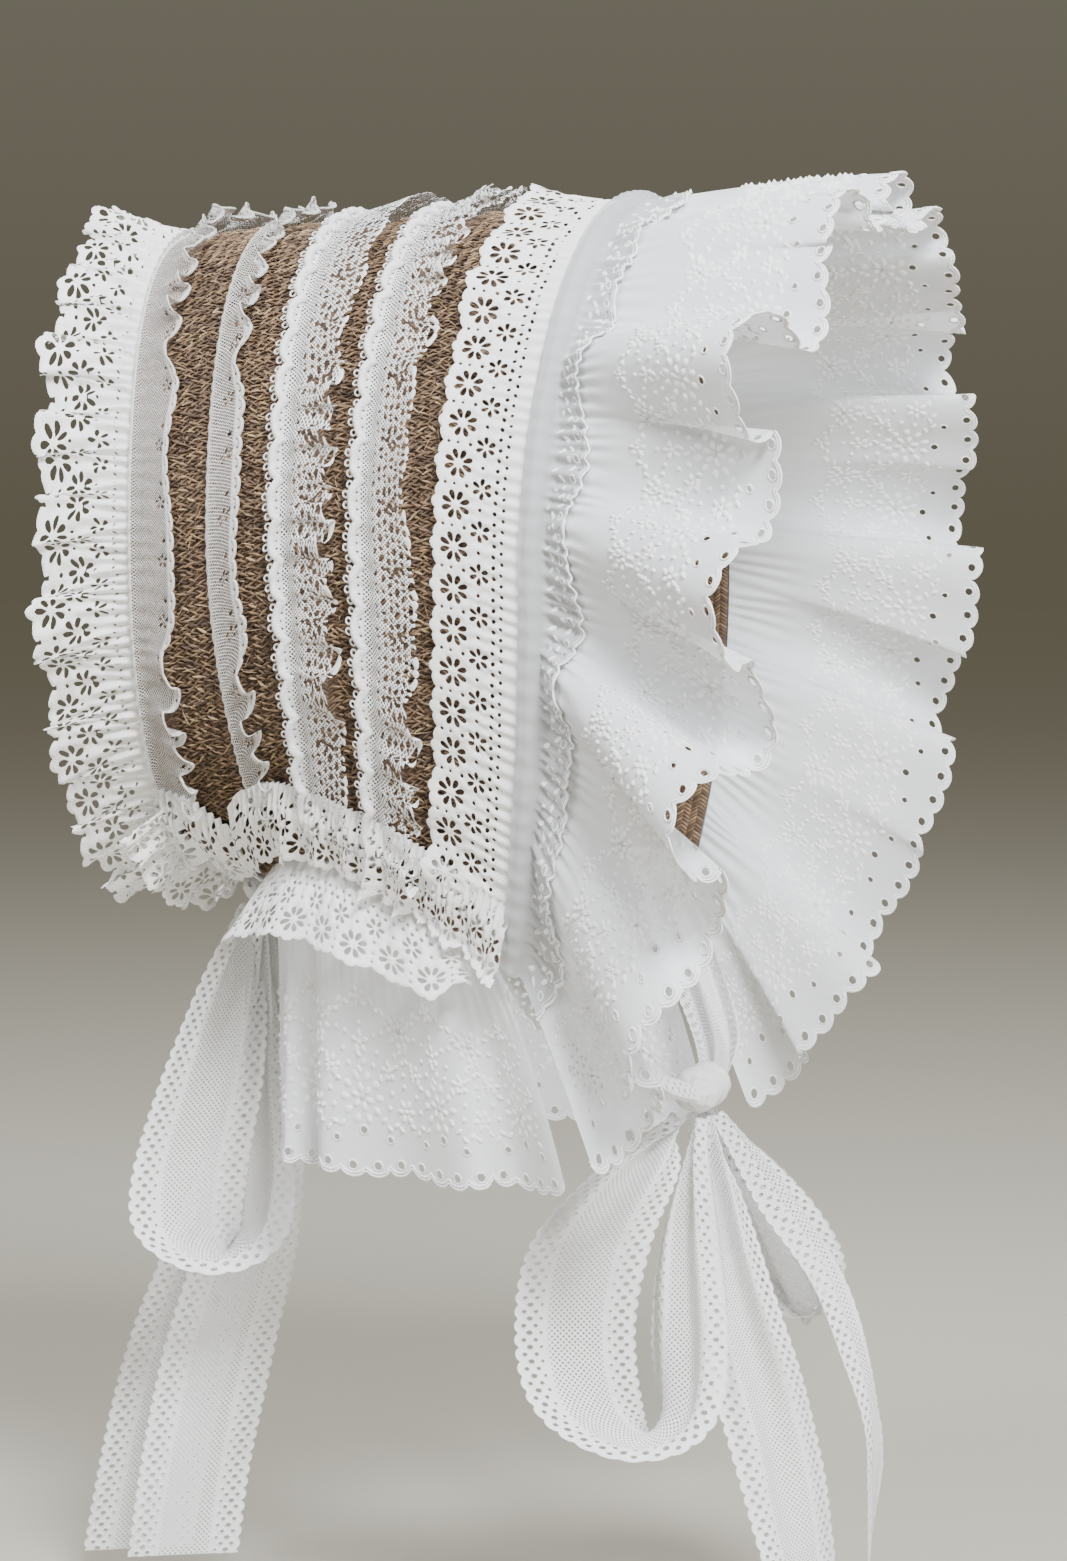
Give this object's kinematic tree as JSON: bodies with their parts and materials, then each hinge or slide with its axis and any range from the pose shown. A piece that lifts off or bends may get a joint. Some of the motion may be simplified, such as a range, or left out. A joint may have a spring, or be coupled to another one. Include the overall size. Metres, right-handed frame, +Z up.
{
  "type": "lace and straw bonnet",
  "caption": "Drum-crowned straw bonnet covered in gathered lace trims, with a deep eyelet face ruffle, a neck curtain and lace ties in bows at chin and nape",
  "frame": {"origin": "where the top of the head meets the inside of the crown", "axes": "+Z up, the face looks along -Y, the wearer's right is -X"},
  "size_m": [0.2803, 0.2962, 0.4612],
  "materials": {
    "straw_braid": "coarse brown straw, knit in chunky rows",
    "cotton_lace": "white cotton bobbin lace",
    "eyelet_cotton": "white cotton lawn with eyelets and satin stitch flowers",
    "cotton_roll": "white cotton over a cord",
    "lace_ribbon": "white cotton net lace ribbon"
  },
  "bodies": {
    "root": {"straw_crown": "straw_braid", "crown_tip": "straw_braid", "rear_frill": "cotton_lace", "narrow_frill": "cotton_lace", "picot_lace_rear": "cotton_lace", "picot_lace_front": "cotton_lace", "cluny_lace_band": "cotton_lace", "back_edge_frill": "cotton_lace", "nape_ruffle": "cotton_lace", "lower_edge_lace_right": "cotton_lace", "lower_edge_lace_left": "cotton_lace", "face_ruffle": "eyelet_cotton", "curtain": "eyelet_cotton", "rim_roll": "cotton_roll", "rim_lace": "cotton_roll", "chin_tie_right": "lace_ribbon", "chin_tie_left": "lace_ribbon", "chin_knot": "lace_ribbon", "chin_loop_right": "lace_ribbon", "chin_loop_left": "lace_ribbon", "chin_tail_wide": "lace_ribbon", "chin_tail_narrow": "lace_ribbon", "nape_knot": "lace_ribbon", "nape_loop": "lace_ribbon", "nape_tail_right": "lace_ribbon", "nape_tail_left": "lace_ribbon"}
  },
  "joints": []
}
